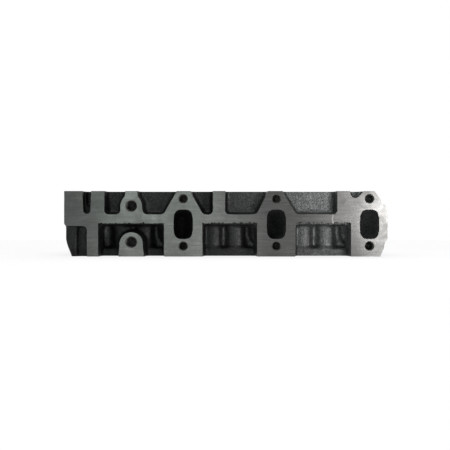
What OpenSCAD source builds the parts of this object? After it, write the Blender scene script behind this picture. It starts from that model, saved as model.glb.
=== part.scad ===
// Three-cylinder overhead-valve diesel cylinder head, complete with its valve train
// below the rocker gear. Millimetres. X runs along the head, the intake-manifold face
// looks along -Y, Z is up. Z = 0 is the deck (fire face), Z = 76 the rocker-cover rail.

/* [Piece] */
// Which sub-part to show; "all" shows the whole head

/* [Casting] */
// Length along the crankshaft
length = 375; // [340:1:400]
// Width from the intake-manifold face to the exhaust-manifold face
width = 188; // [170:1:210]
// Height from the deck to the rocker-cover rail
height = 76; // [70:1:90]
// Distance between cylinder centres
pitch = 108; // [100:1:115]
// X of the middle cylinder
mid_x = -1.5; // [-6:0.5:6]
// Height of the floor of the rocker well
floor_z = 40; // [36:1:44]
// Thickness of the wall round the rocker well
wall = 12; // [8:0.5:14]
// Height of the underside of the horizontal land on the manifold face
rail_lo = 38.4; // [34:0.1:42]
// Height of the top of the horizontal land on the manifold face
rail_hi = 48.8; // [44:0.1:54]
// Y of the as-cast floor of the upper pockets
pocket_y = -72; // [-80:1:-66]
// Fillet where the lands of the manifold face meet
land_r = 3.2; // [1:0.1:4]

/* [Ports] */
// Distance from a cylinder centre to its intake port on the face
port_dx = 60; // [50:1:64]
// Height of the intake port's centre on the face
port_z = 37.4; // [34:0.1:40]
// Width of an intake port on the face
port_w = 22.5; // [18:0.5:28]
// Height of an intake port on the face
port_h = 34.3; // [28:0.1:38]
// Radius of the M10 stud holes beside the ports
stud_r = 4.9; // [4.2:0.1:5.2]
// Height of the lower stud holes
stud_lo = 12.3; // [10:0.1:16]
// Height of the upper stud holes
stud_hi = 67.1; // [60:0.1:70]
// Radius of the two M12 bracket holes
bracket_r = 6.2; // [5:0.1:6.5]

/* [Valves] */
// Distance of each valve from its cylinder centre
valve_dx = 22; // [20:0.5:24]
// Radius of an intake valve's head
in_r = 18.5; // [17:0.1:19]
// Radius of an exhaust valve's head
ex_r = 16; // [14:0.1:17]
// Radius of a valve stem
stem_r = 3.97; // [3.5:0.01:4.5]
// Running clearance between stem and guide, on the radius
stem_gap = 0.04; // [0.02:0.01:0.08]
// Height of the spring seats
seat_z = 42; // [40:0.5:44]
// Fitted length of a valve spring
spring_h = 28; // [26:0.5:30]
// Radius of the spring wire
wire_r = 1.7; // [1.4:0.1:2]
// Mean radius of a valve spring
coil_r = 10.5; // [9:0.1:11]
// Turns of a valve spring, closed ends included
turns = 5; // [4:0.5:6]

/* [Bolts and plugs] */
// Radius of the head-bolt holes
bolt_r = 6.5; // [5:0.1:7]
// Distance of the head bolts from the centre line
bolt_y = 44; // [40:1:48]
// Radius of the pushrod holes
rod_r = 6.5; // [5:0.1:8]
// Radius of the core plugs
plug_r = 12; // [10:0.5:14]
// Outer radius of an injector sleeve
sleeve_r = 8.5; // [7:0.1:10]

/* [Hidden] */
cyl = [mid_x - pitch, mid_x, mid_x + pitch];
half_l = length / 2;
half_w = width / 2;
port_x = [for (c = cyl) c + port_dx];
bolt_x = [cyl[0] - 54, cyl[0] + 54, cyl[1] + 54, cyl[2] + 64];
rod_at = [[-14.5, -51, 16.5], [12.5, -50, 17]];
drain_at = [8, 60];
bracket_at = [[-109.75, 58.8], [-109.75, 16.9]];
ex_port_dx = -30;
ex_port_z = 33;
retain_z = seat_z + spring_h;
tip_z = 75.6;
head_z = 1.2;
jacket_lo = 12;
jacket_hi = 32;
rim_x1 = 160;
rim_y1 = 78;
cover_y = [-66, 72];
cover_x = [-181.5, -69.5, 42.5, 154.5];
outlet_at = [40, 22];
plug_x = [for (c = cyl) c + 30];
iron = [0.36, 0.37, 0.37];
steel = [0.62, 0.63, 0.65];
spring_steel = [0.30, 0.31, 0.34];
bronze = [0.70, 0.52, 0.30];
rubber_g = [0.16, 0.22, 0.18];
seat_alloy = [0.55, 0.56, 0.58];
copper = [0.72, 0.43, 0.28];
plate = [0.75, 0.74, 0.66];

// ---------------------------------------------------------------- helpers

// Hole along -Y..+Y from y0 to y1 at (x, z)
module y_hole(x, z, r, y0, y1) {
  translate([x, y0, z]) rotate([-90, 0, 0]) cylinder(r = r, h = y1 - y0, $fn = 96);
}

module x_hole(x0, x1, y, z, r) {
  translate([x0, y, z]) rotate([0, 90, 0]) cylinder(r = r, h = x1 - x0, $fn = 96);
}

module z_rod(x, y, r, z0, z1) {
  translate([x, y, z0]) cylinder(r = r, h = z1 - z0, $fn = 96);
}

// A 2D shape drawn in (X, Z), made solid from y0 to y1
module slab(y0, y1) {
  translate([0, y1, 0]) rotate([90, 0, 0]) linear_extrude(height = y1 - y0) children();
}

module box(a, b) {
  translate(a) cube([b[0] - a[0], b[1] - a[1], b[2] - a[2]]);
}

// One ring of a port: a rounded rectangle w by h round point p, square to heading th
function ring(p, th, w, h, r) = [
  for (q = [0:3], k = [0:3])
    let (a = 90 * q + 30 * k,
         sx = (q == 0 || q == 3) ? 1 : -1,
         sz = (q < 2) ? 1 : -1,
         u = sx * (w / 2 - r) + r * cos(a),
         v = sz * (h / 2 - r) + r * sin(a))
      [p[0] + u * sin(th), p[1] - u * cos(th), p[2] + v]
];

// A port drawn from stations [x, y, z, heading, width, height, corner radius];
// grow thickens it on every side and stretches its two ends by nothing
module port(st, grow) {
  m = 16;
  n = len(st);
  pts = [for (s = st) each ring([s[0], s[1], s[2]], s[3], s[4] + 2 * grow, s[5] + 2 * grow, s[6] + grow)];
  sides = [for (i = [0:n - 2], j = [0:m - 1]) each
    let (a = i * m + j, b = i * m + (j + 1) % m, c = a + m, d = b + m) [[a, b, d], [a, d, c]]];
  polyhedron(points = pts,
             faces = concat(sides, [[for (j = [m - 1:-1:0]) j]], [[for (j = [0:m - 1]) (n - 1) * m + j]]));
}

function intake_path(c, y0) = [
  [c + port_dx, y0, port_z, 90, port_w, port_h, 8],
  [c + port_dx, -86, port_z, 90, port_w, port_h, 8],
  [c + port_dx - 2.5, -77, port_z - 1, 105, port_w - 1, port_h - 1.5, 8],
  [c + port_dx - 9, -66, port_z - 3.5, 124, port_w - 2.5, port_h - 5.5, 7.5],
  [c + 41, -56, port_z - 6, 130, port_w - 4, port_h - 9, 7],
  [c + 33.5, -46, port_z - 8.4, 122, port_w - 4.5, port_h - 12, 7],
  [c + 28, -33, port_z - 11, 108, port_w - 3, port_h - 13, 7.5],
  [c + 24, -18, port_z - 13, 99, port_w, port_h - 14, 8],
  [c + valve_dx, -6, port_z - 13.6, 92, port_w + 3, port_h - 14.5, 8.5],
  [c + valve_dx, 8, port_z - 13.8, 90, port_w - 3, port_h - 16, 8]
];

function exhaust_path(c, y1) = [
  [c - valve_dx, -8, 23.5, 90, 18, 17, 7],
  [c - valve_dx, 4, 23.6, 92, 23, 19, 8],
  [c - valve_dx - 2, 17, 24.5, 100, 22, 20, 8.5],
  [c - valve_dx - 5, 32, 27, 101, 22.5, 22, 9],
  [c - valve_dx - 7.5, 50, 30, 96, 24, 24, 10],
  [c + ex_port_dx, 70, 32.4, 90, 26, 26, 11],
  [c + ex_port_dx, 86, ex_port_z, 90, 27, 27, 11.5],
  [c + ex_port_dx, y1, ex_port_z, 90, 27, 27, 11.5]
];

// ---------------------------------------------------------------- manifold face

// Outline of the whole head seen square to the manifold face
module face_outline() {
  polygon([[-178.5, 0], [-181.1, 6.7], [-183.3, 12.3], [-185, 19.2], [-185, 31.8], [-186.4, 36.2],
           [-half_l, 37.5], [-half_l, height], [172.2, height], [half_l - 0.3, 56.1], [half_l, 52],
           [half_l, 19], [184, 17], [183, 9], [178.7, 0]]);
}

// Upright land round one intake port, narrow at the top
module port_land(x, left, right) {
  polygon([[x - left, 90], [x - left, 76], [x - 21.6, 51.2], [x - 22.2, 46], [x - 22.2, 2], [x - 20, -10],
           [x + 22.2, -10], [x + 22.2, 50.6], [x + right, 76], [x + right, 90]]);
}

module lands() {
  intersection() {
    difference() {
      offset(r = -land_r, $fn = 24) offset(r = land_r, $fn = 24) union() {
        translate([-200, rail_lo]) square([400, rail_hi - rail_lo]);
        polygon([[-200, 35.6], [-200, 90], [-141, 90], [-141, 40], [-148.1, 40], [-148.1, -10], [-161.2, -10], [-161.2, 35.6]]);
        translate([-116.8, 45]) square([14.2, 50]);
        translate(bracket_at[0]) circle(r = 12.6, $fn = 64);
        polygon([[-123.7, 45], [-94.9, 45], [-97.3, 56], [-121.7, 56]]);
        translate([-109.7, 14.8]) circle(r = 13.6, $fn = 64);
        polygon([[-125.5, -10], [-94.5, -10], [-95.2, 2], [-96.4, 13], [-123, 13], [-124.6, 2]]);
        port_land(port_x[0], 6.9, 7.4);
        port_land(port_x[1], 9, 6.9);
        translate([-14.9, 45]) square([13.8, 50]);
        polygon([[129.4, 90], [129.4, 40], [145.05, 40], [145.05, -10], [200, -10], [200, 90]]);
      }
      // casting slot beside the left pad
      translate([-161.15, 53.7]) circle(r = 4.1, $fn = 48);
      polygon([[-166.7, 90], [-165.25, 53.7], [-157.05, 53.7], [-155.9, 90]]);
      // notch in the top of the right pad
      offset(r = 1.5, $fn = 24) offset(r = -1.5, $fn = 24)
        polygon([[144, 90], [144, 75], [145, 71], [148, 68], [152, 68], [154.4, 69.8], [160.6, 76], [174, 90]]);
    }
    face_outline();
  }
}

// Plan of the wall behind the lower pockets, with the pushrod tunnels bulging from it
module body_plan() {
  translate([-185, -60]) square([368, rim_y1 + 60]);
  for (c = cyl, t = rod_at) translate([c + t[0], t[1]]) circle(r = t[2], $fn = 64);
}

// ---------------------------------------------------------------- casting

module blank() {
  // lower body and the ledge round the deck
  linear_extrude(height = rail_hi) body_plan();
  linear_extrude(height = 8) polygon([[-178.5, -69], [178.5, -69], [183, -60], [183, 82], [-185, 82], [-185, -60]]);
  // wall round the rocker well
  translate([0, 0, floor_z - 2]) linear_extrude(height = height - floor_z + 2)
    polygon([[-half_l, pocket_y], [rim_x1, pocket_y], [rim_x1, rim_y1], [-half_l, rim_y1]]);
  // machined lands on the manifold face, rooted in the wall and the floor behind
  slab(-half_w, pocket_y + 1) lands();
  slab(-80, -55) intersection() {
    lands();
    translate([-200, -5]) square([400, rail_hi + 5]);
  }
  // as-cast block under the left pad
  slab(-87, -55) intersection() {
    translate([-186.6, 0]) square([12.6, 37]);
    polygon([[-179.8, 0], [-182.6, 6.7], [-184.8, 12.3], [-186.6, 19.2], [-186.6, 37], [-170, 37], [-170, 0]]);
  }
  slab(-81, -55) translate([-175, 0]) square([15, 37]);
  // step for the last pair of head bolts, outside the rocker well
  box([rim_x1 - 4, -74, 30], [183, rim_y1, 50]);
  // exhaust-manifold pads and the band that ties them
  for (c = cyl) slab(70, half_w) offset(r = -5, $fn = 24) offset(r = 5, $fn = 24) union() {
    translate([c + ex_port_dx, ex_port_z]) offset(r = 9, $fn = 32) square([26, 28], center = true);
    translate([c + ex_port_dx, ex_port_z]) offset(r = 9.5, $fn = 32) square([58, 1], center = true);
  }
  // flange of the coolant outlet on the left end
  x_hole(-half_l, -180, outlet_at[0], outlet_at[1], 17);
  for (s = [-1, 1]) x_hole(-half_l, -180, outlet_at[0] + s * 24, outlet_at[1], 8);
  box([-half_l, outlet_at[0] - 24, outlet_at[1] - 8], [-180, outlet_at[0] + 24, outlet_at[1] + 8]);
}

module well() {
  // the rocker well, with rounded corners
  translate([0, 0, floor_z]) linear_extrude(height = 60)
    offset(r = 8, $fn = 32) translate([-half_l + wall + 8, pocket_y + wall + 8])
      square([rim_x1 + half_l - 2 * wall + 3 - 16, rim_y1 - pocket_y - 2 * wall - 16]);
}

module bosses() {
  for (x = [bolt_x[0], bolt_x[1], bolt_x[2]], s = [-1, 1]) z_rod(x, s * bolt_y, 11.5, floor_z - 1, 46);
  z_rod(bolt_x[3], -bolt_y, 11.5, 48, 53);
  z_rod(bolt_x[3], bolt_y, 11.5, 48, 53);
  for (c = cyl) {
    for (t = rod_at) z_rod(c + t[0], t[1] + 1, 10, floor_z - 1, 45);
    for (s = [-1, 1]) z_rod(c + s * valve_dx, 0, 15, floor_z - 1, seat_z);
    // rocker-shaft pedestal pad
    box([c - 8, -38, floor_z - 1], [c + 8, -8, 50]);
    // injector tower and clamp-stud boss
    z_rod(c, 24, 12.5, floor_z - 1, 60);
    z_rod(c, 44, 8, floor_z - 1, 60);
    box([c - 5, 24, floor_z - 1], [c + 5, 44, 60]);
  }
}

module passage_skins() {
  intersection() {
    union() for (c = cyl) {
      port(intake_path(c, -half_w + 1), 4.5);
      port(exhaust_path(c, half_w - 1), 4.5);
    }
    box([-183, -72, 5], [183, rim_y1, 60]);
  }
}

// Cooling space between the deck and the floor of the rocker well
module jacket() {
  difference() {
    translate([0, 0, jacket_lo]) linear_extrude(height = jacket_hi - jacket_lo) difference() {
      offset(r = 6, $fn = 32) translate([-168, -39]) square([334, 100]);
      for (x = bolt_x, s = [-1, 1]) translate([x, s * bolt_y]) circle(r = 11, $fn = 64);
      for (c = cyl) {
        for (t = rod_at) translate([c + t[0], t[1]]) circle(r = 11, $fn = 64);
        for (s = [-1, 1]) translate([c + s * valve_dx, 0]) circle(r = valve_dx + 1, $fn = 64);
        translate([c, 24]) circle(r = 13, $fn = 64);
        translate([c + drain_at[0], drain_at[1]]) circle(r = 9.5, $fn = 64);
      }
    }
    for (c = cyl) {
      port(intake_path(c, -half_w + 1), 4.5);
      port(exhaust_path(c, half_w - 1), 4.5);
    }
  }
}

module gas_passages() {
  for (c = cyl) {
    port(intake_path(c, -half_w - 1), 0);
    port(exhaust_path(c, half_w + 1), 0);
    z_rod(c + valve_dx, 0, 15.9, 7, 24);
    z_rod(c - valve_dx, 0, 13.6, 7, 24);
    z_rod(c + valve_dx, 0, in_r + 2.3, -1, 7.4);
    z_rod(c - valve_dx, 0, ex_r + 2.3, -1, 7.4);
    for (s = [-1, 1]) z_rod(c + s * valve_dx, 0, 6.5, 20, 60);
    // injector bore
    z_rod(c, 24, sleeve_r, 8, 70);
    z_rod(c, 24, 4, -1, 9);
    z_rod(c, 44, 3.4, 42, 70);
  }
}

module drillings() {
  // intake-manifold studs
  for (x = port_x, z = [stud_lo, stud_hi]) y_hole(x, z, stud_r, -half_w - 1, z > 40 ? -76 : -70);
  // bracket bosses
  for (p = bracket_at) y_hole(p[0], p[1], bracket_r, -half_w - 1, -72);
  // exhaust-manifold studs
  for (c = cyl, s = [-1, 1]) y_hole(c + ex_port_dx + s * 29, ex_port_z, stud_r, 76, half_w + 1);
  // head bolts
  for (x = bolt_x, s = [-1, 1]) z_rod(x, s * bolt_y, bolt_r, -1, 90);
  for (c = cyl) {
    for (t = rod_at) z_rod(c + t[0], t[1], rod_r, -1, 90);
    z_rod(c + drain_at[0], drain_at[1], 6, -1, 60);
    for (y = [-32, -14]) z_rod(c, y, 3.4, 36, 60);
  }
  // coolant transfer to the block
  for (x = [bolt_x[0], bolt_x[1], bolt_x[2], 154], s = [-1, 1]) z_rod(x, s * 18, 5, -1, jacket_lo + 1);
  // rocker-cover screws
  for (x = cover_x, y = cover_y) z_rod(x, y, 2.6, 61, 90);
  // core-plug holes
  x_hole(-200, -173, -20, 22, plug_r);
  x_hole(171, 200, 8, 22, plug_r);
  for (x = plug_x) y_hole(x, 22, plug_r, 60, 90);
  // coolant outlet and its screws
  x_hole(-200, -173, outlet_at[0], outlet_at[1], 12.5);
  for (s = [-1, 1]) x_hole(-200, -176, outlet_at[0] + s * 24, outlet_at[1], 3.4);
  // oil gallery in the front wall of the rocker well, drilled right through
  x_hole(-200, 200, -66, 54, 3);
  x_hole(-200, -half_l + 10, -66, 54, 4.5);
  x_hole(rim_x1 - 10, 200, -66, 54, 4.5);
}

module head_casting() {
  color(iron) difference() {
    union() {
      difference() {
        blank();
        well();
      }
      bosses();
      passage_skins();
    }
    jacket();
    gas_passages();
    drillings();
  }
}

// ---------------------------------------------------------------- valve gear

// Profile of a poppet valve, closed, turned about its own axis
module valve(r) {
  color(steel) rotate_extrude($fn = 96) polygon(concat(
    [[0, head_z], [r - 0.3, head_z], [r, head_z + 0.3], [r, 2.6], [r - 3.4, 6]],
    [for (t = [0:0.125:1]) [stem_r + (r - 4.2 - stem_r) * pow(1 - t, 2.7), 6.2 + 17 * t]],
    [[stem_r, 70.5], [3.3, 70.7], [3.3, 71.5], [stem_r, 71.7], [stem_r, tip_z - 0.5], [stem_r - 0.5, tip_z], [0, tip_z]]));
}

module seat_insert(r) {
  color(seat_alloy) rotate_extrude($fn = 96) polygon([
    [r + 0.4, 0.6], [r + 2.3, 0.6], [r + 2.3, 7.4], [r - 2.6, 7.4], [r - 2.6, 5.24], [r + 0.4, 2.24]]);
}

module guide() {
  color(bronze) rotate_extrude($fn = 96) polygon([
    [stem_r + stem_gap, 25], [5.4, 25], [6.5, 28], [6.5, 51.5], [6, 52], [stem_r + stem_gap, 52]]);
}

module stem_seal() {
  color(rubber_g) rotate_extrude($fn = 96) polygon([
    [6.55, 46], [7.6, 46], [7.6, 53.4], [6.2, 55.4], [stem_r + stem_gap, 55.4], [stem_r + stem_gap, 52.6],
    [4.9, 52.05], [6.55, 52.05]]);
}

module retainer() {
  color(steel) rotate_extrude($fn = 96) polygon([
    [5.4, 68], [8.3, 68], [8.3, retain_z], [12.2, retain_z], [12.5, retain_z + 0.3], [12.5, retain_z + 1.9],
    [12, retain_z + 2.4], [8.6, retain_z + 2.9], [6.62, retain_z + 2.9]]);
}

// Two tapered half collars gripping the groove of the stem
module collets() {
  color(spring_steel) difference() {
    rotate_extrude($fn = 96) polygon([
      [4.0, 68.4], [5.44, 68.4], [6.54, 72.8], [4.0, 72.8], [4.0, 71.65], [3.35, 71.42], [3.35, 70.78], [4.0, 70.55]]);
    translate([-10, -0.4, 60]) cube([20, 0.8, 20]);
  }
}

// Height of the coil's centre line after t turns; one turn at each end lies closed
function coil_z(t) = let (lo = seat_z + wire_r + 0.02, hi = retain_z - wire_r - 0.02, dead = 2 * wire_r + 0.12)
  t < 1 ? lo + dead * t
  : t > turns - 1 ? hi - dead * (turns - t)
  : lo + dead + (hi - lo - 2 * dead) * (t - 1) / (turns - 2);

module spring() {
  m = 8;
  per = 14;
  n = turns * per + 1;
  pts = [for (i = [0:n - 1], j = [0:m - 1])
    let (t = i / per, a = 360 * t, b = 360 * j / m, rr = coil_r + wire_r * cos(b))
      [rr * cos(a), rr * sin(a), coil_z(t) + wire_r * sin(b)]];
  sides = [for (i = [0:n - 2], j = [0:m - 1]) each
    let (a = i * m + j, b = i * m + (j + 1) % m, c = a + m, d = b + m) [[a, d, b], [a, c, d]]];
  color(spring_steel) polyhedron(points = pts,
    faces = concat(sides, [[for (j = [0:m - 1]) j]], [[for (j = [m - 1:-1:0]) (n - 1) * m + j]]));
}

module in_place(i, side) {
  translate([cyl[i - 1] + side * valve_dx, 0, 0]) children();
}

// ---------------------------------------------------------------- small parts

// Copper sleeve the injector sits in
module injector_sleeve(i) {
  color(copper) translate([cyl[i - 1], 24, 0]) rotate_extrude($fn = 96)
    polygon([[4, 9], [sleeve_r, 9], [sleeve_r, 60], [10.2, 60], [10.2, 61.2], [7.3, 61.2], [7.3, 11], [4, 11]]);
}

// Pressed cup, open side outwards, standing on z = 0
module cup() {
  rotate_extrude($fn = 96) polygon([
    [0, 0], [plug_r - 1.5, 0], [plug_r, 1.5], [plug_r, 7], [plug_r - 1.8, 7], [plug_r - 1.8, 3], [plug_r - 2.6, 2], [0, 2]]);
}

// Plug with a hexagon socket, standing on z = 0
module socket_plug() {
  difference() {
    cylinder(r = 4.5, h = 8, $fn = 96);
    translate([0, 0, 3]) cylinder(r = 2.9, h = 9, $fn = 6);
  }
}

module core_plug_left() { color(plate) translate([-177.5, -20, 22]) rotate([0, -90, 0]) cup(); }
module core_plug_right() { color(plate) translate([175.5, 8, 22]) rotate([0, 90, 0]) cup(); }
module core_plug_rear(i) { color(plate) translate([plug_x[i - 1], 70.5, 22]) rotate([-90, 0, 0]) cup(); }
module gallery_plug_left() { color(plate) translate([-half_l + 9, -66, 54]) rotate([0, -90, 0]) socket_plug(); }
module gallery_plug_right() { color(plate) translate([rim_x1 - 9, -66, 54]) rotate([0, 90, 0]) socket_plug(); }

// ---------------------------------------------------------------- the head

head_casting();
in_place(1, 1) valve(in_r);  // intake_valve_1
in_place(2, 1) valve(in_r);  // intake_valve_2
in_place(3, 1) valve(in_r);  // intake_valve_3
in_place(1, -1) valve(ex_r);  // exhaust_valve_1
in_place(2, -1) valve(ex_r);  // exhaust_valve_2
in_place(3, -1) valve(ex_r);  // exhaust_valve_3
in_place(1, 1) spring();  // intake_spring_1
in_place(2, 1) spring();  // intake_spring_2
in_place(3, 1) spring();  // intake_spring_3
in_place(1, -1) spring();  // exhaust_spring_1
in_place(2, -1) spring();  // exhaust_spring_2
in_place(3, -1) spring();  // exhaust_spring_3
in_place(1, 1) retainer();  // intake_retainer_1
in_place(2, 1) retainer();  // intake_retainer_2
in_place(3, 1) retainer();  // intake_retainer_3
in_place(1, -1) retainer();  // exhaust_retainer_1
in_place(2, -1) retainer();  // exhaust_retainer_2
in_place(3, -1) retainer();  // exhaust_retainer_3
in_place(1, 1) collets();  // intake_collets_1
in_place(2, 1) collets();  // intake_collets_2
in_place(3, 1) collets();  // intake_collets_3
in_place(1, -1) collets();  // exhaust_collets_1
in_place(2, -1) collets();  // exhaust_collets_2
in_place(3, -1) collets();  // exhaust_collets_3
in_place(1, 1) stem_seal();  // intake_seal_1
in_place(2, 1) stem_seal();  // intake_seal_2
in_place(3, 1) stem_seal();  // intake_seal_3
in_place(1, -1) stem_seal();  // exhaust_seal_1
in_place(2, -1) stem_seal();  // exhaust_seal_2
in_place(3, -1) stem_seal();  // exhaust_seal_3
in_place(1, 1) guide();  // intake_guide_1
in_place(2, 1) guide();  // intake_guide_2
in_place(3, 1) guide();  // intake_guide_3
in_place(1, -1) guide();  // exhaust_guide_1
in_place(2, -1) guide();  // exhaust_guide_2
in_place(3, -1) guide();  // exhaust_guide_3
in_place(1, 1) seat_insert(in_r);  // intake_seat_1
in_place(2, 1) seat_insert(in_r);  // intake_seat_2
in_place(3, 1) seat_insert(in_r);  // intake_seat_3
in_place(1, -1) seat_insert(ex_r);  // exhaust_seat_1
in_place(2, -1) seat_insert(ex_r);  // exhaust_seat_2
in_place(3, -1) seat_insert(ex_r);  // exhaust_seat_3
injector_sleeve(1);  // injector_sleeve_1
injector_sleeve(2);  // injector_sleeve_2
injector_sleeve(3);  // injector_sleeve_3
core_plug_left();
core_plug_right();
core_plug_rear(1);  // core_plug_rear_1
core_plug_rear(2);  // core_plug_rear_2
core_plug_rear(3);  // core_plug_rear_3
gallery_plug_left();
gallery_plug_right();
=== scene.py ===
"""A bare cast-iron cylinder head with its valve gear, seen square on its intake-manifold face.

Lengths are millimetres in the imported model's own frame unless a name ends in _m.
"""

import math

import bpy
import numpy as np
import openvdb as vdb
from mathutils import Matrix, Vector


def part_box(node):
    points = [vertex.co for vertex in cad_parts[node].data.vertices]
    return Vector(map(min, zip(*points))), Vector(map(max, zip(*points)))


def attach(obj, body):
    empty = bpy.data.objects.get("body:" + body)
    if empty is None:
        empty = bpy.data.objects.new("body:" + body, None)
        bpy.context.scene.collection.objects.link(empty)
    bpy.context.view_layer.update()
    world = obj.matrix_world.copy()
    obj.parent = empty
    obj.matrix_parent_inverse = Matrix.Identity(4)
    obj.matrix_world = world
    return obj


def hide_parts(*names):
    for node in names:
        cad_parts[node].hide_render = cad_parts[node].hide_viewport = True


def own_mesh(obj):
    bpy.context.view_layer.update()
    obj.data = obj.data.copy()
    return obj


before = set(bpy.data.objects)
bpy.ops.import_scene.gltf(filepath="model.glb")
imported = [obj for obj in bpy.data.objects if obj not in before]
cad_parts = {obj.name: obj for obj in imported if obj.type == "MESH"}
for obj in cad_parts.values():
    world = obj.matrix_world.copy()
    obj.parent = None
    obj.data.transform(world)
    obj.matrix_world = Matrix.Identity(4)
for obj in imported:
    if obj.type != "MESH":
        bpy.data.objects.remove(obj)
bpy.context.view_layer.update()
MM = 0.001

# ------------------------------------------------------------------ driving dimensions

LO, HI = (np.array(v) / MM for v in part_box("head_casting"))
FACE_Y, REAR_Y = LO[1], HI[1]
DECK_Z, RAIL_Z = LO[2], HI[2]
PITCH = 108.0
CYLINDERS = [-1.5 - PITCH, -1.5, -1.5 + PITCH]
VALVE_DX = 22.0
PORT_DX = 60.0
PORT_Z = 37.4
PORT_W, PORT_H = 22.5, 34.3
EXHAUST_DX = -30.0
EXHAUST_Z = 33.0
FLOOR_Z, SEAT_Z, BOLT_SEAT_Z = 40.0, 42.0, 46.0
PEDESTAL_Z, TOWER_Z, END_BOLT_Z = 50.0, 60.0, 53.0
BOLT_X = [CYLINDERS[0] - 54, CYLINDERS[0] + 54, CYLINDERS[1] + 54, CYLINDERS[2] + 64]
BOLT_Y, BOLT_R = 44.0, 6.5
PUSHROD_AT = [(-14.5, -51.0), (12.5, -50.0)]
PUSHROD_R = 6.5
STUD_R, STUD_ZS = 4.9, (12.3, 67.1)
BRACKET_AT, BRACKET_R = [(-109.75, 58.8), (-109.75, 16.9)], 6.2
COVER_X, COVER_Y, COVER_R = [-181.5, -69.5, 42.5, 154.5], [-66.0, 72.0], 2.6
INTAKE_R, EXHAUST_R = 18.5, 16.0
PLUG_R, SLEEVE_R = 12.0, 8.5
OUTLET = (40.0, 22.0)
SPRING_H, LIFT = 28.0, 9.0
WIRE_R, COIL_R, TURNS = 1.7, 10.5, 5

VOXEL = 1.3
STOCK = 4.0
FILLET, FACE_FILLET, ROUND = 3.4, 0.9, 1.0
DRAFT = 0.08
LAND_EDGE_Z = 38.7
SLOT_X, SLOT_Z, SLOT_R = -161.15, 53.7, 4.2
NOTCH = [(144.0, 75.0), (144.6, 72.0), (146.2, 69.2), (148.6, 67.9), (151.6, 67.9), (154.6, 69.6),
         (160.8, 76.0)]
LAND_HALF = 22.2
LEFT_LAND_X, RIGHT_PAD_X = -148.1, 145.05
EDGE_SLOPE, CHIP_STEP, CHIP_DEPTH, NICK_DEPTH = 0.003, 0.9, 0.42, 1.0
KEEP = 0.315
SQUARENESS = 3.3


# ------------------------------------------------------------------ mesh helpers

def mesh_object(name, points, faces, smooth=True):
    """An object from points in millimetres and faces, with its own mesh."""
    me = bpy.data.meshes.new(name)
    metres = np.asarray(points, float) * MM
    me.from_pydata([tuple(p) for p in metres], [], [list(map(int, f)) for f in faces])
    me.polygons.foreach_set("use_smooth", [smooth] * len(me.polygons))
    me.update()
    ob = bpy.data.objects.new(name, me)
    bpy.context.scene.collection.objects.link(ob)
    return ob


def ring_stack(rings):
    """Points and faces of a closed solid through rings of equal count."""
    rings = np.asarray(rings, float)
    n, m = rings.shape[:2]
    faces = [(i * m + j, i * m + (j + 1) % m, (i + 1) * m + (j + 1) % m, (i + 1) * m + j)
             for i in range(n - 1) for j in range(m)]
    faces += [tuple(range(m - 1, -1, -1)), tuple(range((n - 1) * m, n * m))]
    return rings.reshape(-1, 3), faces


def on_axis(axis, at, points):
    """Moves points drawn round +Z so that they stand round an axis through at."""
    p = np.asarray(points, float)
    order = {"x": (2, 0, 1), "y": (1, 2, 0), "z": (0, 1, 2)}[axis]
    p = p[:, order]
    shift = {"x": (0, at[0], at[1]), "y": (at[0], 0, at[1]), "z": (at[0], at[1], 0)}[axis]
    return p + np.array(shift, float)


def lathe(profile, segments=48):
    """Closed solid of revolution round +Z; profile goes from one end to the other as (r, z)."""
    a = np.linspace(0, 2 * math.pi, segments, endpoint=False)
    rings = [np.stack([r * np.cos(a), r * np.sin(a), np.full(segments, z)], 1) for r, z in profile]
    return ring_stack(rings)


def outward(points, faces):
    """The same solid with its faces turned outwards."""
    p = np.asarray(points)
    volume = 0.0
    for f in faces:
        for k in range(1, len(f) - 1):
            volume += np.dot(p[f[0]], np.cross(p[f[k]], p[f[k + 1]]))
    return faces if volume > 0 else [tuple(reversed(f)) for f in faces]


def joined(solids):
    """Several (points, faces) as one."""
    points, faces, base = [], [], 0
    for p, f in solids:
        points.append(np.asarray(p, float))
        faces += [tuple(i + base for i in g) for g in outward(p, f)]
        base += len(p)
    return np.vstack(points), faces


# ------------------------------------------------------------------ holes and passages

def rod(axis, at, r, a, b, segments=48):
    """Closed cylinder from a to b along an axis."""
    p, f = lathe([(r, a), (r, b)], segments)
    return on_axis(axis, at, p), f


def plain_hole(axis, at, r, mouth, end, through):
    """Plain hole with a small chamfer at its mouth and, if blind, a drill point."""
    s = 1 if end > mouth else -1
    start = [(r + 3.6, mouth - s * 3), (r + 0.6, mouth), (r, mouth + s * 0.6)]
    finish = [(r, end)] if through else [(r, end), (0.05, end + s * r * 0.5)]
    p, f = lathe(start + finish, 56 if r > 3 else 32)
    return on_axis(axis, at, p), f


def tapped_hole(axis, at, r, mouth, end, pitch):
    """Threaded blind hole: its wall follows a helix of mean radius r for the first turns."""
    s = 1 if end > mouth else -1
    threaded = min(abs(end - mouth), 9 * pitch)
    seg = 24 if r > 4 else 16
    a = np.linspace(0, 2 * math.pi, seg, endpoint=False)
    circle = np.stack([np.cos(a), np.sin(a)], 1)
    lip = r + 0.75
    rings = [np.column_stack([circle * (lip + 3), np.full(seg, mouth - s * 3)])]
    count = int(threaded / pitch * 4)
    for i in range(count + 1):
        d = threaded * i / count
        phase = (d / pitch - a / (2 * math.pi)) % 1.0
        rr = r + 0.27 * pitch * (4 * np.abs(phase - 0.5) - 1)
        rr = np.maximum(rr, lip - d)
        rings.append(np.column_stack([circle * rr[:, None], np.full(seg, mouth + s * d)]))
    rings.append(np.column_stack([circle * r, np.full(seg, end)]))
    rings.append(np.column_stack([circle * 0.05, np.full(seg, end + s * r * 0.5)]))
    p, f = ring_stack(rings)
    return on_axis(axis, at, p), f


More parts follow.
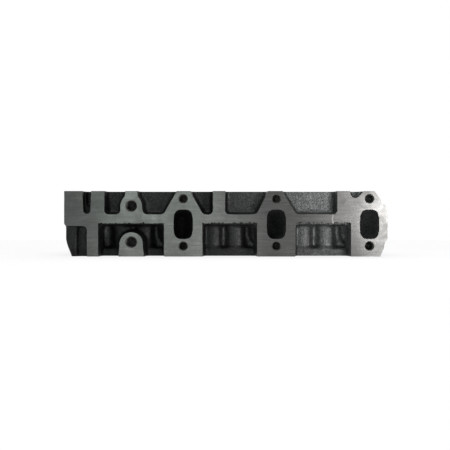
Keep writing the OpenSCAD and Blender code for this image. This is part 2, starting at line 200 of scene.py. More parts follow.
def spline(stations, steps):
    """Catmull-Rom curve through rows of numbers."""
    s = np.array(stations, float)
    s = np.vstack([2 * s[0] - s[1], s, 2 * s[-1] - s[-2]])
    rows = []
    for i in range(1, len(s) - 2):
        for t in np.arange(steps) / steps:
            a, b, c, d = s[i - 1:i + 3]
            rows.append(0.5 * (2 * b + (c - a) * t + (2 * a - 5 * b + 4 * c - d) * t * t
                               + (3 * b - a - 3 * c + d) * t ** 3))
    rows.append(s[-2])
    return np.array(rows)


def passage(stations, grow=0.0, steps=4, points=72, ragged=0.0):
    """Gas passage through stations (x, y, z, heading, width, height); its section is a superellipse."""
    a = np.linspace(0, 2 * math.pi, points, endpoint=False)
    ca, sa = np.cos(a), np.sin(a)
    reach = (np.abs(ca) ** SQUARENESS + np.abs(sa) ** SQUARENESS) ** (-1 / SQUARENESS)
    wave = np.sin(11 * a + 1) + np.sin(17 * a + 2) + 0.8 * np.sin(29 * a)
    rings = []
    for i, (x, y, z, heading, w, h) in enumerate(spline(stations, steps)):
        edge = ragged * (wave * math.cos(1.7 * i) + np.roll(wave, 9) * math.sin(1.7 * i))
        u = (w / 2 + grow + edge) * reach * ca
        v = (h / 2 + grow + edge) * reach * sa
        c, s = math.cos(math.radians(heading)), math.sin(math.radians(heading))
        rings.append(np.stack([x + u * s, y - u * c, z + v], 1))
    return ring_stack(rings)


def intake_stations(c, start):
    return [
        (c + PORT_DX, start, PORT_Z, 90, PORT_W, PORT_H),
        (c + PORT_DX, -86, PORT_Z, 90, PORT_W, PORT_H),
        (c + PORT_DX - 2.5, -77, PORT_Z - 1, 105, PORT_W - 1, PORT_H - 1.5),
        (c + PORT_DX - 9, -66, PORT_Z - 3.5, 124, PORT_W - 2.5, PORT_H - 5.5),
        (c + 41, -56, PORT_Z - 6, 130, PORT_W - 4, PORT_H - 9),
        (c + 33.5, -46, PORT_Z - 8.4, 122, PORT_W - 4.5, PORT_H - 12),
        (c + 28, -33, PORT_Z - 11, 108, PORT_W - 3, PORT_H - 13),
        (c + 24, -18, PORT_Z - 13, 99, PORT_W, PORT_H - 14),
        (c + VALVE_DX, -6, PORT_Z - 13.6, 92, PORT_W + 3, PORT_H - 14.5),
        (c + VALVE_DX, 8, PORT_Z - 13.8, 90, PORT_W - 3, PORT_H - 16)]


def exhaust_stations(c, end):
    x = c - VALVE_DX
    return [
        (x, -8, 23.5, 90, 18, 17),
        (x, 4, 23.6, 92, 23, 19),
        (x - 2, 17, 24.5, 100, 22, 20),
        (x - 5, 32, 27, 101, 22.5, 22),
        (x - 7.5, 50, 30, 96, 24, 24),
        (c + EXHAUST_DX, 70, 32.4, 90, 26, 26),
        (c + EXHAUST_DX, 86, EXHAUST_Z, 90, 27, 27),
        (c + EXHAUST_DX, end, EXHAUST_Z, 90, 27, 27)]


def valve_bowl(x, r):
    """Recess for the seat insert and the bowl above it."""
    profile = [(r + 2.3, -3), (r + 2.3, 7.4), (r - 2.6, 7.4), (r - 2.6, 19), (r - 6, 25),
               (6.5, 25), (6.5, 60)]
    p, f = lathe(profile, 64)
    return on_axis("z", (x, 0), p), f


def holes():
    """Every hole: axis, place, radius, mouth, end, thread pitch (0 for none), whether it goes right
    through, and the stretch of the rough casting that has to be solid before it is drilled."""
    found = []

    def add(axis, at, r, mouth, end, pitch=0.0, through=False, solid=None):
        found.append((axis, at, r, mouth, end, pitch, through, solid or (mouth, end)))

    for c in CYLINDERS:
        for z in STUD_ZS:
            end = -76 if z > 40 else -70
            add("y", (c + PORT_DX, z), STUD_R, FACE_Y, end, 1.5, solid=(FACE_Y - STOCK, end))
        for s in (-1, 1):
            at = (c + EXHAUST_DX + s * 29, EXHAUST_Z)
            add("y", at, STUD_R, REAR_Y, 76, 1.5, solid=(REAR_Y + STOCK, 76))
        for dx, y in PUSHROD_AT:
            add("z", (c + dx, y), PUSHROD_R, 45, DECK_Z - 8, through=True, solid=(45, DECK_Z - STOCK))
        add("z", (c + 8, 60), 6, FLOOR_Z, DECK_Z - 8, through=True, solid=(FLOOR_Z, DECK_Z - STOCK))
        for y in (-32, -14):
            add("z", (c, y), 3.4, PEDESTAL_Z, 36, 1.25, solid=(PEDESTAL_Z + 1.5, 36))
        add("z", (c, 44), 3.4, TOWER_Z, 42, 1.25, solid=(TOWER_Z + 1.5, 42))
        add("z", (c, 24), SLEEVE_R, TOWER_Z, 9, solid=(TOWER_Z + 1.5, DECK_Z - STOCK))
        add("y", (c + 30, 22), PLUG_R, 78, 62, through=True, solid=(78, 60))
    for x, z in BRACKET_AT:
        add("y", (x, z), BRACKET_R, FACE_Y, -72, 1.75, solid=(FACE_Y - STOCK, -72))
    for x in BOLT_X:
        top = BOLT_SEAT_Z if x < 160 else END_BOLT_Z
        for s in (-1, 1):
            add("z", (x, s * BOLT_Y), BOLT_R, top, DECK_Z - 8, through=True,
                solid=(top + 1.5, DECK_Z - STOCK))
    for x in BOLT_X[:3] + [154.0]:
        for s in (-1, 1):
            add("z", (x, s * 18), 5, DECK_Z, 13, solid=(DECK_Z - STOCK, 13.5))
    for x in COVER_X:
        for y in COVER_Y:
            add("z", (x, y), COVER_R, RAIL_Z, 62, 1.0, solid=(RAIL_Z + STOCK, 60))
    add("x", (-20, 22), PLUG_R, -185, -174, through=True, solid=(-185, -172))
    add("x", (8, 22), PLUG_R, 183, 172, through=True, solid=(183, 170))
    add("x", OUTLET, 12.5, LO[0], -168, through=True, solid=(LO[0] - STOCK, -172))
    for s in (-1, 1):
        add("x", (OUTLET[0] + s * 24, OUTLET[1]), 3.4, LO[0], -176, 1.25, solid=(LO[0] - STOCK, -175))
    add("x", (-66, 54), 4.5, LO[0], LO[0] + 9, through=True, solid=(LO[0], 160))
    add("x", (-66, 54), 4.5, 160, 151, through=True, solid=(160, 150))
    return found


# ------------------------------------------------------------------ the casting

def soup(node):
    """Points in millimetres and triangles of a CAD node."""
    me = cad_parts[node].data
    me.calc_loop_triangles()
    co = np.empty(len(me.vertices) * 3, np.float32)
    me.vertices.foreach_get("co", co)
    tri = np.empty(len(me.loop_triangles) * 3, np.int32)
    me.loop_triangles.foreach_get("vertices", tri)
    return co.reshape(-1, 3) / MM, tri.reshape(-1, 3).astype(np.uint32)


def triangles(faces):
    return np.array([(f[0], f[k], f[k + 1]) for f in faces for k in range(1, len(f) - 1)], np.uint32)


def raised(points, tris, axis, level, by, where=None):
    """A slab of a thickness by, on the flat face of a mesh at a level of an axis."""
    flat = np.abs(points[tris][:, :, axis] - level).max(1) < 0.02
    if where is not None:
        flat &= where(points[tris].mean(1).T)
    face = tris[flat].astype(int)
    edges = np.concatenate([face[:, [0, 1]], face[:, [1, 2]], face[:, [2, 0]]])
    _, index, count = np.unique(np.sort(edges, 1), axis=0, return_index=True, return_counts=True)
    rim = edges[index[count == 1]]
    n = len(points)
    near, far = points.copy(), points.copy()
    near[:, axis] -= math.copysign(0.4, by)
    far[:, axis] += by
    walls = np.concatenate([np.column_stack([rim[:, 0], rim[:, 1], rim[:, 1] + n]),
                            np.column_stack([rim[:, 0], rim[:, 1] + n, rim[:, 0] + n])])
    return np.vstack([near, far]), np.vstack([face[:, ::-1], face + n, walls])


def stock(points, tris):
    """What is left on every face that is machined later, so that its edges stay square."""
    def at_outlet(m):
        return (np.abs(m[1] - OUTLET[0]) < 42) & (m[2] < 40)

    def in_well(m):
        return (m[0] < 150) & (m[0] > -176) & (m[1] > -60)

    slabs = [raised(points, tris, 1, FACE_Y, -STOCK), raised(points, tris, 1, REAR_Y, STOCK),
             raised(points, tris, 2, DECK_Z, -STOCK), raised(points, tris, 2, RAIL_Z, STOCK),
             raised(points, tris, 0, LO[0], -STOCK, at_outlet)]
    for level in (SEAT_Z, BOLT_SEAT_Z, PEDESTAL_Z, TOWER_Z):
        slabs.append(raised(points, tris, 2, level, 1.5, in_well))
    slabs.append(raised(points, tris, 2, END_BOLT_Z, 1.5, lambda m: m[0] > 155))
    return slabs


def stacked(meshes):
    """Several (points, triangles) as one mesh for a level set."""
    points, tris, base = [], [], 0
    for p, t in meshes:
        points.append(p)
        tris.append(np.asarray(t, np.uint32) + base)
        base += len(p)
    return np.vstack(points), np.vstack(tris), np.zeros((0, 4), np.uint32)


def level_set(mesh, band):
    points, tris, quads = mesh
    return vdb.FloatGrid.createLevelSetFromPolygons(
        np.ascontiguousarray(points, np.float32),
        triangles=np.ascontiguousarray(tris, np.uint32),
        quads=np.ascontiguousarray(quads, np.uint32),
        transform=vdb.createLinearTransform(VOXEL), exBandWidth=float(band), inBandWidth=float(band))


def offset_by(mesh, distance):
    """The surface at a distance from a mesh: outwards when positive."""
    return level_set(mesh, abs(distance) / VOXEL + 2.5).convertToPolygons(distance, 0.0)


def distances(mesh, lo, hi):
    """Signed distances from a mesh on the voxels of a box."""
    grid = level_set(mesh, (ROUND + 4) / VOXEL + 2)
    d = np.zeros(hi - lo, np.float32)
    grid.copyToArray(d, ijk=tuple(int(v) for v in lo))
    return d


def lattice_noise(shape, origin, wavelengths, seed):
    """Smooth noise from -1 to 1 on the voxels of a box, with one wavelength for each axis."""
    rng = np.random.default_rng(seed)
    cells = []
    for n, o, s in zip(shape, origin, wavelengths):
        t = np.arange(n) * VOXEL / s
        i = np.floor(t).astype(int)
        f = t - i
        cells.append((i, f * f * (3 - 2 * f)))
    table = rng.uniform(-1, 1, [c[0].max() + 2 for c in cells])
    (ix, fx), (iy, fy), (iz, fz) = cells
    out = np.zeros(shape, np.float32)
    for dx in (0, 1):
        for dy in (0, 1):
            for dz in (0, 1):
                w = ((fx if dx else 1 - fx)[:, None, None] * (fy if dy else 1 - fy)[None, :, None]
                     * (fz if dz else 1 - fz)[None, None, :])
                out += (w * table[np.ix_(ix + dx, iy + dy, iz + dz)]).astype(np.float32)
    return out


def casting_fills():
    """Solids that stop every hole and passage before the casting's skin is made."""
    fills = []
    for axis, at, r, _, _, _, _, (a, b) in holes():
        fills.append(rod(axis, at, r + 0.6, a, b, 32))
    for c in CYLINDERS:
        fills.append(passage(intake_stations(c, FACE_Y - STOCK), grow=0.6))
        fills.append(passage(exhaust_stations(c, REAR_Y + STOCK), grow=0.6))
        for s, r in ((1, INTAKE_R), (-1, EXHAUST_R)):
            x = c + s * VALVE_DX
            fills.append(rod("z", (x, 0), r + 2.9, DECK_Z - STOCK, 7.8))
            fills.append(rod("z", (x, 0), r - 2, 7, 24.6))
            fills.append(rod("z", (x, 0), 7.1, 20, SEAT_Z + 1.5, 32))
    return joined(fills)


def as_cast():
    """The rough casting: holes stopped, corners filleted, walls drafted, skin uneven."""
    points, tris = soup("head_casting")
    fill_points, fill_faces = casting_fills()
    mesh = stacked([(points, tris), (fill_points, triangles(fill_faces))] + stock(points, tris))
    mesh = level_set(mesh, 3).convertToPolygons(0.0, 0.0)
    lo = np.floor((LO - STOCK - 8) / VOXEL).astype(int)
    hi = np.ceil((HI + STOCK + 8) / VOXEL).astype(int)
    x, y, z = [(np.arange(h - l) + l) * VOXEL for l, h in zip(lo, hi)]
    x, y, z = x[:, None, None], y[None, :, None], z[None, None, :]
    wide = distances(offset_by(offset_by(mesh, FILLET), -FILLET - ROUND), lo, hi)
    tight = distances(offset_by(offset_by(mesh, FACE_FILLET), -FACE_FILLET - ROUND), lo, hi)
    # inner corners are crisp near the manifold face and filleted deeper in
    depth = np.clip((y - FACE_Y - 9) / 9, 0, 1)
    d = tight + (wide - tight) * depth - ROUND
    # draft: pockets narrow with depth from the manifold face, and the well narrows downwards
    outside = np.clip((-62 - y) / 6, 0, 1)
    d = d - DRAFT * np.clip(y - FACE_Y, 0, 26) * outside
    well = np.clip((y + 66) / 6, 0, 1) * np.clip((72 - y) / 6, 0, 1) * np.clip((z - 38) / 3, 0, 1)
    d = d - 0.03 * np.clip(RAIL_Z - z, 0, 36) * well
    # uneven skin
    d = d + 0.20 * lattice_noise(d.shape, lo, (17, 15, 13), 3)
    d = d + 0.14 * lattice_noise(d.shape, lo, (6, 6, 5), 4)
    out = vdb.FloatGrid(float(ROUND + 4))
    out.copyFromArray(d, ijk=tuple(int(v) for v in lo))
    out.transform = vdb.createLinearTransform(VOXEL)
    return out.convertToPolygons(0.0, 0.0)


def fast_mesh(name, points, tris, quads):
    """Mesh from arrays, points in millimetres."""
    me = bpy.data.meshes.new(name)
    me.vertices.add(len(points))
    me.vertices.foreach_set("co", (np.asarray(points, np.float32) * MM).ravel())
    loops = np.concatenate([tris.ravel(), quads.ravel()]).astype(np.int32)
    starts = np.concatenate([np.arange(len(tris)) * 3, len(tris) * 3 + np.arange(len(quads)) * 4])
    me.loops.add(len(loops))
    me.loops.foreach_set("vertex_index", loops)
    me.polygons.add(len(starts))
    me.polygons.foreach_set("loop_start", starts.astype(np.int32))
    me.update(calc_edges=True)
    me.validate()
    return me


def applied(ob):
    """Makes an object's modifiers part of its mesh."""
    graph = bpy.context.evaluated_depsgraph_get()
    me = bpy.data.meshes.new_from_object(ob.evaluated_get(graph))
    ob.modifiers.clear()
    ob.data = me


def cut(ob, solids, operation="DIFFERENCE", finish=1):
    """Cuts solids out of an object with one boolean; finish is the material of the new faces."""
    points, faces = joined(solids)
    tool = mesh_object("cutter", points, faces)
    for m in ob.data.materials:
        tool.data.materials.append(m)
    tool.data.polygons.foreach_set("material_index", [finish] * len(tool.data.polygons))
    mod = ob.modifiers.new("cut", "BOOLEAN")
    mod.operation = operation
    mod.solver = "MANIFOLD"
    mod.object = tool
    applied(ob)
    bpy.data.objects.remove(tool)


def block(lo, hi):
    x0, y0, z0 = lo
    x1, y1, z1 = hi
    return ring_stack([[(x0, y0, z), (x1, y0, z), (x1, y1, z), (x0, y1, z)] for z in (z0, z1)])


def spot_faces():
    """What the cutters take off to leave each machined seat at its level."""
    cuts = []
    for c in CYLINDERS:
        for s in (-1, 1):
            cuts.append(rod("z", (c + s * VALVE_DX, 0), 12.8, SEAT_Z, RAIL_Z + 6, 64))
        cuts.append(block((c - 10, -40, PEDESTAL_Z), (c + 10, -6, RAIL_Z + 6)))
        cuts.append(block((c - 14, 10, TOWER_Z), (c + 14, 54, RAIL_Z + 6)))
    for x in BOLT_X:
        top = BOLT_SEAT_Z if x < 160 else END_BOLT_Z
        for s in (-1, 1):
            cuts.append(rod("z", (x, s * BOLT_Y), 12.2, top, RAIL_Z + 6, 64))
    return cuts


def face_prism(outline, depth):
    """Prism with an outline (x, z) on the manifold face, to a depth behind it."""
    return ring_stack([[(x, y, z) for x, z in outline] for y in (FACE_Y - 3, FACE_Y + depth)])


def land_edges():
    """Crisp top of each lower pocket, whose edge on the milled land is chipped."""
    rng = np.random.default_rng(12)
    ports = [c + PORT_DX for c in CYLINDERS]
    starts = [LEFT_LAND_X, ports[0] + LAND_HALF, ports[1] + LAND_HALF]
    ends = [ports[0] - LAND_HALF, ports[1] - LAND_HALF, RIGHT_PAD_X]
    bottom = LAND_EDGE_Z - 7.7
    cuts = []
    for x0, x1 in zip(starts, ends):
        xs = np.arange(x0, x1, CHIP_STEP)
        chips = np.convolve(rng.normal(0, CHIP_DEPTH, len(xs) + 1), (0.5, 0.5), "valid")
        nicks = np.convolve(rng.random(len(xs) + 1) > 0.89, (1, 1), "valid") > 0
        zs = LAND_EDGE_Z + EDGE_SLOPE * xs + chips + NICK_DEPTH * nicks
        edge = list(zip(xs[::-1], zs[::-1]))
        outline = [(x1, bottom), (x1, LAND_EDGE_Z + 0.4)] + edge + [(x0, bottom)]
        cuts.append(face_prism(outline, 11))
    return cuts


def rail_openings():
    """The casting slot beside the left pad and the notch in the right pad, both open at the rail."""
    top = RAIL_Z + 8
    round_end = [(SLOT_X - SLOT_R * math.cos(a), SLOT_Z - SLOT_R * math.sin(a))
                 for a in np.linspace(0, math.pi, 13)]
    slot = [(SLOT_X - 5.6, top)] + round_end + [(SLOT_X + 5.2, top)]
    notch = NOTCH + [(NOTCH[-1][0] + 8, top), (NOTCH[0][0], top)]
    return [face_prism(slot, 14), face_prism(notch, 12)]


def casting(materials):
    """The machined casting; its materials are cast, milled, bored and port, the port wall being painted
    lighter.
    """
    ob = bpy.data.objects.new("head_casting_skin", fast_mesh("head_casting_skin", *as_cast()))
    bpy.context.scene.collection.objects.link(ob)
    thin = ob.modifiers.new("thin", "DECIMATE")
    thin.ratio = KEEP
    applied(ob)
    for m in materials:
        ob.data.materials.append(m)
    cut(ob, [block(LO, HI + np.array([20, 0, 0]))], "INTERSECT", 1)
    cut(ob, spot_faces(), finish=1)
    cut(ob, land_edges() + rail_openings(), finish=0)
    bores = []
    for axis, at, r, mouth, end, pitch, through, _ in holes():
        if pitch:
            bores.append(tapped_hole(axis, at, r, mouth, end, pitch))
        else:
            bores.append(plain_hole(axis, at, r, mouth, end, through))
    cut(ob, bores, finish=2)
    passages = []
    for c in CYLINDERS:
        passages.append(passage(intake_stations(c, FACE_Y - 2), ragged=0.12))
        passages.append(passage(exhaust_stations(c, REAR_Y + 2), ragged=0.08))
    cut(ob, passages, finish=3)
    bowls = []
    for c in CYLINDERS:
        bowls.append(valve_bowl(c + VALVE_DX, INTAKE_R))
        bowls.append(valve_bowl(c - VALVE_DX, EXHAUST_R))
        bowls.append(rod("z", (c, 24), 4, DECK_Z - 3, 11, 32))
    cut(ob, bowls, finish=2)
    return ob


def smooth_by_angle(ob, degrees=32):
    ob.data.polygons.foreach_set("use_smooth", [True] * len(ob.data.polygons))
    ob.data.set_sharp_from_angle(angle=math.radians(degrees))


# ------------------------------------------------------------------ valve springs

def spring(name, x, material):
    """Wound spring with closed, ground ends that stands on its seat under the retainer."""
    per_turn = 40
    total = TURNS + 2
    count = total * per_turn
    base, top = SEAT_Z, SEAT_Z + SPRING_H
    free = SPRING_H - 2 * WIRE_R
    rings = []
    for i in range(count + 1):
        t = i / per_turn
        active = min(max(t - 1, 0), TURNS) / TURNS
        climb = min(t, 1) * 0.5 + min(max(t - 1 - TURNS, 0), 1) * 0.5
        z = base + WIRE_R + (free - 2 * WIRE_R) * active + 2 * WIRE_R * climb
        a = 2 * math.pi * t
        ring = []
        for k in range(16):
            b = 2 * math.pi * k / 16
            rr = COIL_R + WIRE_R * math.cos(b)
            zz = min(max(z + WIRE_R * math.sin(b), base), top)
            ring.append((x + rr * math.cos(a), rr * math.sin(a), zz))
        rings.append(ring)
    p, f = ring_stack(rings)
    ob = mesh_object(name, p, outward(p, f))
    ob.data.materials.append(material)
    smooth_by_angle(ob, 50)
    return ob


# ------------------------------------------------------------------ materials

MILLED_DARK, MILLED_PALE = (0.176, 0.178, 0.170), (0.246, 0.248, 0.240)
MILLED_STREAK, MILLED_STAIN = (0.316, 0.318, 0.308), (0.132, 0.134, 0.127)
SCORE_X = 125.5
# Tints along X, as (x, grey), of the milled manifold face and of the as-cast pockets in it. They are
# painted
# light and shade: the face is painted with sheen left of the middle and with shade towards the
# right-hand end, and the pockets are painted paler towards the right-hand lamp. They were tuned together
# with the lights for the uneven tone of that side, and are not a record of real wear.
FACE_PAINTED_SHEEN_AND_SHADE = [(-188, 0.46), (-150, 0.50), (-112, 0.76), (-60, 0.68), (-24, 0.94), (10, 0.72), (30, 0.66),
             (48, 0.48), (84, 0.38), (120, 0.37), (150, 0.29), (188, 0.47)]
POCKET_PAINTED_LIGHT = [(-190, 0.17), (-60, 0.26), (-25, 0.20), (30, 0.42), (75, 0.76), (105, 1.0)]


class Nodes:
    """A material's node tree, written down node by node; lengths in its textures are millimetres."""

    def __init__(self, name):
        self.material = bpy.data.materials.new(name)
        self.material.use_nodes = True
        self.tree = self.material.node_tree
        self.shader = self.tree.nodes["Principled BSDF"]
        coord = self.tree.nodes.new("ShaderNodeTexCoord")
        self.scale = self.tree.nodes.new("ShaderNodeMapping")
        self.scale.inputs["Scale"].default_value = (1 / MM, 1 / MM, 1 / MM)
        self.link(coord.outputs["Object"], self.scale.inputs["Vector"])
        self.place = self.scale.outputs["Vector"]

    def link(self, a, b):
        self.tree.links.new(a, b)

    def put(self, socket, value):
        if isinstance(value, bpy.types.NodeSocket):
            self.link(value, socket)
        else:
            socket.default_value = value

    def set(self, **values):
        for name, value in values.items():
            self.put(self.shader.inputs[name.replace("_", " ")], value)

    def stretched(self, factors):
        n = self.tree.nodes.new("ShaderNodeMapping")
        n.inputs["Scale"].default_value = factors
        self.link(self.place, n.inputs["Vector"])
        return n.outputs["Vector"]

    def noise(self, size, detail=3.0, rough=0.55, place=None, distortion=0.0):
        """Noise whose lumps are about size millimetres across."""
        n = self.tree.nodes.new("ShaderNodeTexNoise")
        n.inputs["Scale"].default_value = 1 / size
        n.inputs["Detail"].default_value = detail
        n.inputs["Roughness"].default_value = rough
        n.inputs["Distortion"].default_value = distortion
        self.link(place or self.place, n.inputs["Vector"])
        return n.outputs["Fac"]

    def cells(self, size, feature="F1", place=None):
        n = self.tree.nodes.new("ShaderNodeTexVoronoi")
        n.feature = feature
        n.inputs["Scale"].default_value = 1 / size
        self.link(place or self.place, n.inputs["Vector"])
        return n.outputs["Distance"]

    def ramp(self, value, *stops):
        """Colour ramp; a stop is (position, colour) with colour a grey number or three numbers."""
        n = self.tree.nodes.new("ShaderNodeValToRGB")
        band = n.color_ramp
        while len(band.elements) < len(stops):
            band.elements.new(0.5)
        for e, (at, colour) in zip(band.elements, stops):
            e.position = at
            rgb = colour if isinstance(colour, tuple) else (colour,) * 3
            e.color = (*rgb, 1)
        self.link(value, n.inputs["Fac"])
        return n.outputs["Color"]

    def mix(self, factor, a, b, blend="MIX"):
        n = self.tree.nodes.new("ShaderNodeMix")
        n.data_type = "RGBA"
        n.blend_type = blend
        self.put(n.inputs["Factor"], factor)
        for socket, value in ((n.inputs[6], a), (n.inputs[7], b)):
            self.put(socket, (*value, 1) if isinstance(value, tuple) else value)
        return n.outputs[2]

    def maths(self, operation, a, b=0.0, clamp=False):
        n = self.tree.nodes.new("ShaderNodeMath")
        n.operation = operation
        n.use_clamp = clamp
        self.put(n.inputs[0], a)
        self.put(n.inputs[1], b)
        return n.outputs[0]

    def axis(self, letter):
        n = self.tree.nodes.new("ShaderNodeSeparateXYZ")
        self.link(self.place, n.inputs[0])
        return n.outputs[letter]

    def ranged(self, letter, start, end):
        """0 to 1 as a coordinate goes from start to end, in millimetres."""
        n = self.tree.nodes.new("ShaderNodeMapRange")
        n.inputs["From Min"].default_value = start
        n.inputs["From Max"].default_value = end
        self.link(self.axis(letter), n.inputs["Value"])
        return n.outputs["Result"]

    def along(self, *stops):
        """Grey that changes smoothly along X; a stop is (x in millimetres, grey)."""
        return self.ramp(self.ranged("X", -200, 200), *[((x + 200) / 400, grey) for x, grey in stops])

    def manifold_side(self, tint, depth, fade):
        """A tint that reaches to a depth behind the manifold face and then fades to none."""
        return self.mix(self.ranged("Y", FACE_Y + depth, FACE_Y + depth + fade), tint, (1.0, 1.0, 1.0))

    def bump(self, height, depth, below=None):
        """Bump of a depth in millimetres on top of another bump."""
        n = self.tree.nodes.new("ShaderNodeBump")
        n.inputs["Distance"].default_value = depth * MM
        self.put(n.inputs["Height"], height)
        if below:
            self.link(below, n.inputs["Normal"])
        return n.outputs["Normal"]


def cast_iron(name, light=1.0):
    """Sand-cast iron: dark skin, small lumps and grains, lighter dust on the high spots."""
    m = Nodes(name)
    grain = m.noise(1.3, 3, 0.6)
    lumps = m.noise(5.5, 3, 0.5)
    stains = m.noise(34, 4, 0.6)
    # light above 1 makes a copy of the skin painted lighter, as used for the port walls
    dark = (0.028 * light, 0.033 * light, 0.033 * light)
    pale = (0.20 * light, 0.205 * light, 0.202 * light)
    base = m.mix(m.ramp(grain, (0.34, 0.0), (0.74, 1.0)), dark, pale)
    base = m.mix(m.ramp(stains, (0.48, 0.0), (0.75, 0.4)), base, (0.050, 0.044, 0.036))
    # the ledge round the deck is darker than the walls above it
    base = m.mix(m.maths("MULTIPLY", m.ranged("Z", 10, 7), 0.5), base, (0.012, 0.012, 0.012))
    # painted light: the pockets of the manifold side are painted paler towards the right-hand end, where
    # the right-hand lamp lights them
    base = m.mix(1.0, base, m.manifold_side(m.along(*POCKET_PAINTED_LIGHT), 30, 14), "MULTIPLY")
    m.set(Base_Color=base, Metallic=0.75)
    m.set(Roughness=m.ramp(lumps, (0.3, 0.40), (0.7, 0.54)))
    normal = m.bump(lumps, 0.30)
    normal = m.bump(grain, 0.22, normal)
    m.set(Normal=m.bump(m.cells(1.7, "SMOOTH_F1"), 0.15, normal))
    return m.material


def milled_iron(name):
    """Milled cast iron: fine marks along X, graphite pores, patchy stains and one bright score."""
    m = Nodes(name)
    marks = m.noise(0.8, 4, 0.7, m.stretched((0.03, 1.0, 1.0)))
    streaks = m.noise(3.2, 3, 0.6, m.stretched((0.12, 1.0, 1.0)))
    stains = m.noise(22, 5, 0.62, distortion=0.6)
    pores = m.ramp(m.noise(0.7, 2, 0.6), (0.29, 0.6), (0.36, 0.0))
    base = m.mix(m.ramp(marks, (0.35, 0.0), (0.65, 1.0)), MILLED_DARK, MILLED_PALE)
    base = m.mix(m.ramp(streaks, (0.52, 0.0), (0.70, 0.5)), base, MILLED_STREAK)
    base = m.mix(m.ramp(stains, (0.46, 0.0), (0.66, 0.5)), base, MILLED_STAIN)
    base = m.mix(pores, base, (0.02, 0.02, 0.019))
    # a score across the land beside the right-hand port
    wander = m.maths("MULTIPLY", m.noise(4, 2), 3.0)
    off = m.maths("ABSOLUTE", m.maths("SUBTRACT", m.maths("ADD", m.axis("X"), wander), SCORE_X))
    on_face = m.maths("LESS_THAN", m.axis("Y"), FACE_Y + 1)
    score = m.maths("MULTIPLY", m.ramp(off, (0.25, 1.0), (0.7, 0.0)), on_face)
    base = m.mix(score, base, (0.50, 0.50, 0.48))
    # painted sheen and shade: the manifold face is painted lighter left of the middle and darker towards
    # the right-hand end
    base = m.mix(1.0, base, m.manifold_side(m.along(*FACE_PAINTED_SHEEN_AND_SHADE), 0.5, 2), "MULTIPLY")
    m.set(Base_Color=base, Metallic=0.9)
    gloss = m.maths("ADD", stains, m.maths("MULTIPLY", marks, 0.5))
    m.set(Roughness=m.ramp(gloss, (0.5, 0.24), (0.95, 0.34)))
    m.set(Normal=m.bump(marks, 0.005, m.bump(streaks, 0.006)))
    return m.material


def plain_metal(name, dark, pale, rough, grain=0.5, depth=0.02, metallic=1.0, squeeze=(1, 1, 1)):
    """Metal with a fine grain, a patchy tint and uneven gloss."""
    m = Nodes(name)
    fine = m.noise(grain, 4, 0.65, m.stretched(squeeze))
    patch = m.noise(7, 4, 0.6)
    base = m.mix(m.ramp(patch, (0.35, 0.0), (0.65, 1.0)), dark, pale)
    m.set(Base_Color=m.mix(m.ramp(fine, (0.3, 0.0), (0.7, 0.35)), base, dark), Metallic=metallic)
    uneven = m.maths("ADD", patch, m.maths("MULTIPLY", fine, 0.4))
    m.set(Roughness=m.ramp(uneven, (0.4, rough - 0.07), (0.9, rough + 0.1)))
    m.set(Normal=m.bump(fine, depth))
    return m.material


def seal_rubber(name):
    m = Nodes(name)
    fine = m.noise(0.6, 3, 0.6)
    patch = m.ramp(m.noise(4, 3), (0.35, 0.0), (0.65, 1.0))
    m.set(Base_Color=m.mix(patch, (0.010, 0.030, 0.018), (0.020, 0.055, 0.034)))
    m.set(Roughness=m.ramp(fine, (0.3, 0.45), (0.7, 0.62)), Normal=m.bump(fine, 0.02))
    return m.material


CAST = cast_iron("cast iron skin")
MILLED = milled_iron("milled iron")
BORED = plain_metal("bored iron", (0.10, 0.10, 0.095), (0.19, 0.19, 0.18), 0.42, metallic=0.8)
# painted light: the port walls are the cast skin painted 1.8 times lighter, standing in for the light
# inside the deep passages
PORT_PAINTED_LIGHTER = cast_iron("port wall painted lighter", 1.8)
NODE_MATERIALS = {
    "valve_": plain_metal("ground valve steel", (0.36, 0.35, 0.34), (0.50, 0.49, 0.47),
                          0.24, 0.3, 0.006),
    "retainer_": plain_metal("phosphated steel", (0.10, 0.10, 0.105), (0.17, 0.17, 0.175),
                             0.40, 0.5, 0.015),
    "collets_": plain_metal("satin collet steel", (0.22, 0.22, 0.23), (0.32, 0.32, 0.33), 0.34),
    "seal_": seal_rubber("green seal rubber"),
    "guide_": plain_metal("turned bronze", (0.36, 0.22, 0.09), (0.50, 0.33, 0.15),
                          0.32, 0.4, 0.012, squeeze=(1, 1, 5)),
    "seat_": plain_metal("ground seat alloy", (0.34, 0.34, 0.33), (0.46, 0.46, 0.45), 0.26, 0.35, 0.008),
    "sleeve_": plain_metal("drawn copper", (0.42, 0.17, 0.09), (0.62, 0.29, 0.16), 0.33, 0.5, 0.012),
    "plug_": plain_metal("zinc plated steel", (0.40, 0.37, 0.24), (0.56, 0.53, 0.40), 0.34, 0.6, 0.015),
}
SPRING_STEEL = plain_metal("oiled spring steel", (0.045, 0.048, 0.058), (0.085, 0.090, 0.105),
                           0.30, 0.5, 0.012)


# ------------------------------------------------------------------ the object

head = casting([CAST, MILLED, BORED, PORT_PAINTED_LIGHTER])
smooth_by_angle(head)
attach(head, "head")
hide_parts("head_casting")

for kind, side in (("intake", 1), ("exhaust", -1)):
    for i, c in enumerate(CYLINDERS, 1):
        x = c + side * VALVE_DX
        coil = spring(f"{kind}_spring_coil_{i}", x, SPRING_STEEL)
        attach(coil, "head")
        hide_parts(f"{kind}_spring_{i}")
        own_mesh(coil)

for name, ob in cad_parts.items():
    for key, material in NODE_MATERIALS.items():
        if key in name:
            for slot in ob.material_slots:
                slot.material = material

# ------------------------------------------------------------------ camera, lights and stage

FACE_DISTANCE = 0.9
VIEW_WIDTH = 0.5215
SENSOR = 0.036

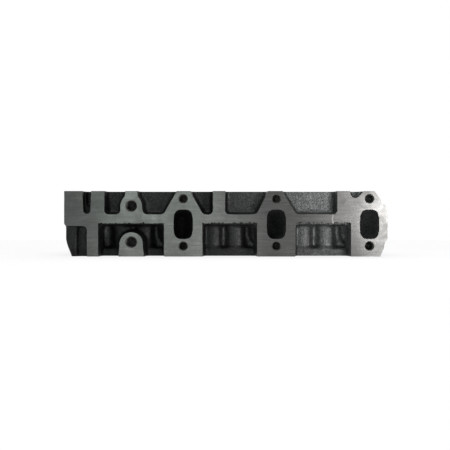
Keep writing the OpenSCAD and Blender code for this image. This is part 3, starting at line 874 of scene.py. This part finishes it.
camera = bpy.data.objects.new("camera", bpy.data.cameras.new("camera"))
bpy.context.scene.collection.objects.link(camera)
camera.data.sensor_width = SENSOR * 1000
camera.data.lens = SENSOR * 1000 * FACE_DISTANCE / VIEW_WIDTH
camera.location = (-0.001, FACE_Y * MM - FACE_DISTANCE, 0.0366)
camera.rotation_euler = (math.radians(90), 0, 0)
bpy.context.scene.camera = camera


def soft_light(name, place, target, size, power, colour=(1, 1, 1)):
    data = bpy.data.lights.new(name, "AREA")
    data.shape = "RECTANGLE"
    data.size, data.size_y = size
    data.energy = power
    data.color = colour
    ob = bpy.data.objects.new(name, data)
    ob.location = place
    ob.rotation_euler = (Vector(target) - Vector(place)).to_track_quat("-Z", "Y").to_euler()
    bpy.context.scene.collection.objects.link(ob)


soft_light("near_right", (0.29, -0.55, 0.062), (0.15, -0.09, 0.04), (0.10, 0.18), 1.3,
           (1.0, 0.965, 0.975))
soft_light("front_left", (-0.22, -1.25, 0.26), (-0.10, -0.09, 0.04), (0.2, 0.46), 0.95,
           (0.86, 1.0, 0.94))
soft_light("above", (0.0, -0.8, 1.1), (0, -0.09, 0.04), (1.0, 0.5), 5)


def flat_stage(name, corners, grey, emission):
    ob = mesh_object(name, corners, [(0, 1, 2, 3)], smooth=False)
    m = Nodes(name)
    tone = m.mix(m.ramp(m.noise(300, 2), (0.4, 0.0), (0.6, 1.0)), (grey,) * 3, (grey * 0.97,) * 3)
    m.set(Base_Color=tone, Roughness=0.9, Specular_IOR_Level=0.0)
    m.set(Emission_Color=(1, 1, 1, 1), Emission_Strength=emission)
    # nothing is drawn on the underside, so that the deck can be looked at through the floor
    mixer = m.tree.nodes.new("ShaderNodeMixShader")
    m.link(m.tree.nodes.new("ShaderNodeNewGeometry").outputs["Backfacing"], mixer.inputs["Fac"])
    m.link(m.shader.outputs["BSDF"], mixer.inputs[1])
    m.link(m.tree.nodes.new("ShaderNodeBsdfTransparent").outputs["BSDF"], mixer.inputs[2])
    m.link(mixer.outputs["Shader"], m.tree.nodes["Material Output"].inputs["Surface"])
    ob.data.materials.append(m.material)


# the floor lies a hair below the deck, so that the two flat faces do not coincide
STAGE_Z = -0.05
SIDE, FRONT, BACK, TOP = 3000, -2500, 900, 2500
flat_stage("floor", [(-SIDE, FRONT, STAGE_Z), (SIDE, FRONT, STAGE_Z), (SIDE, BACK, STAGE_Z),
                     (-SIDE, BACK, STAGE_Z)], 0.35, 0.75)
flat_stage("backdrop", [(-SIDE, BACK, -10), (SIDE, BACK, -10), (SIDE, BACK, TOP), (-SIDE, BACK, TOP)],
           0.02, 1.0)

world = bpy.data.worlds.new("studio")
world.use_nodes = True
world.node_tree.nodes["Background"].inputs["Color"].default_value = (0.93, 0.97, 1.0, 1)
world.node_tree.nodes["Background"].inputs["Strength"].default_value = 0.22
bpy.context.scene.world = world
bpy.context.scene.view_settings.view_transform = "Standard"
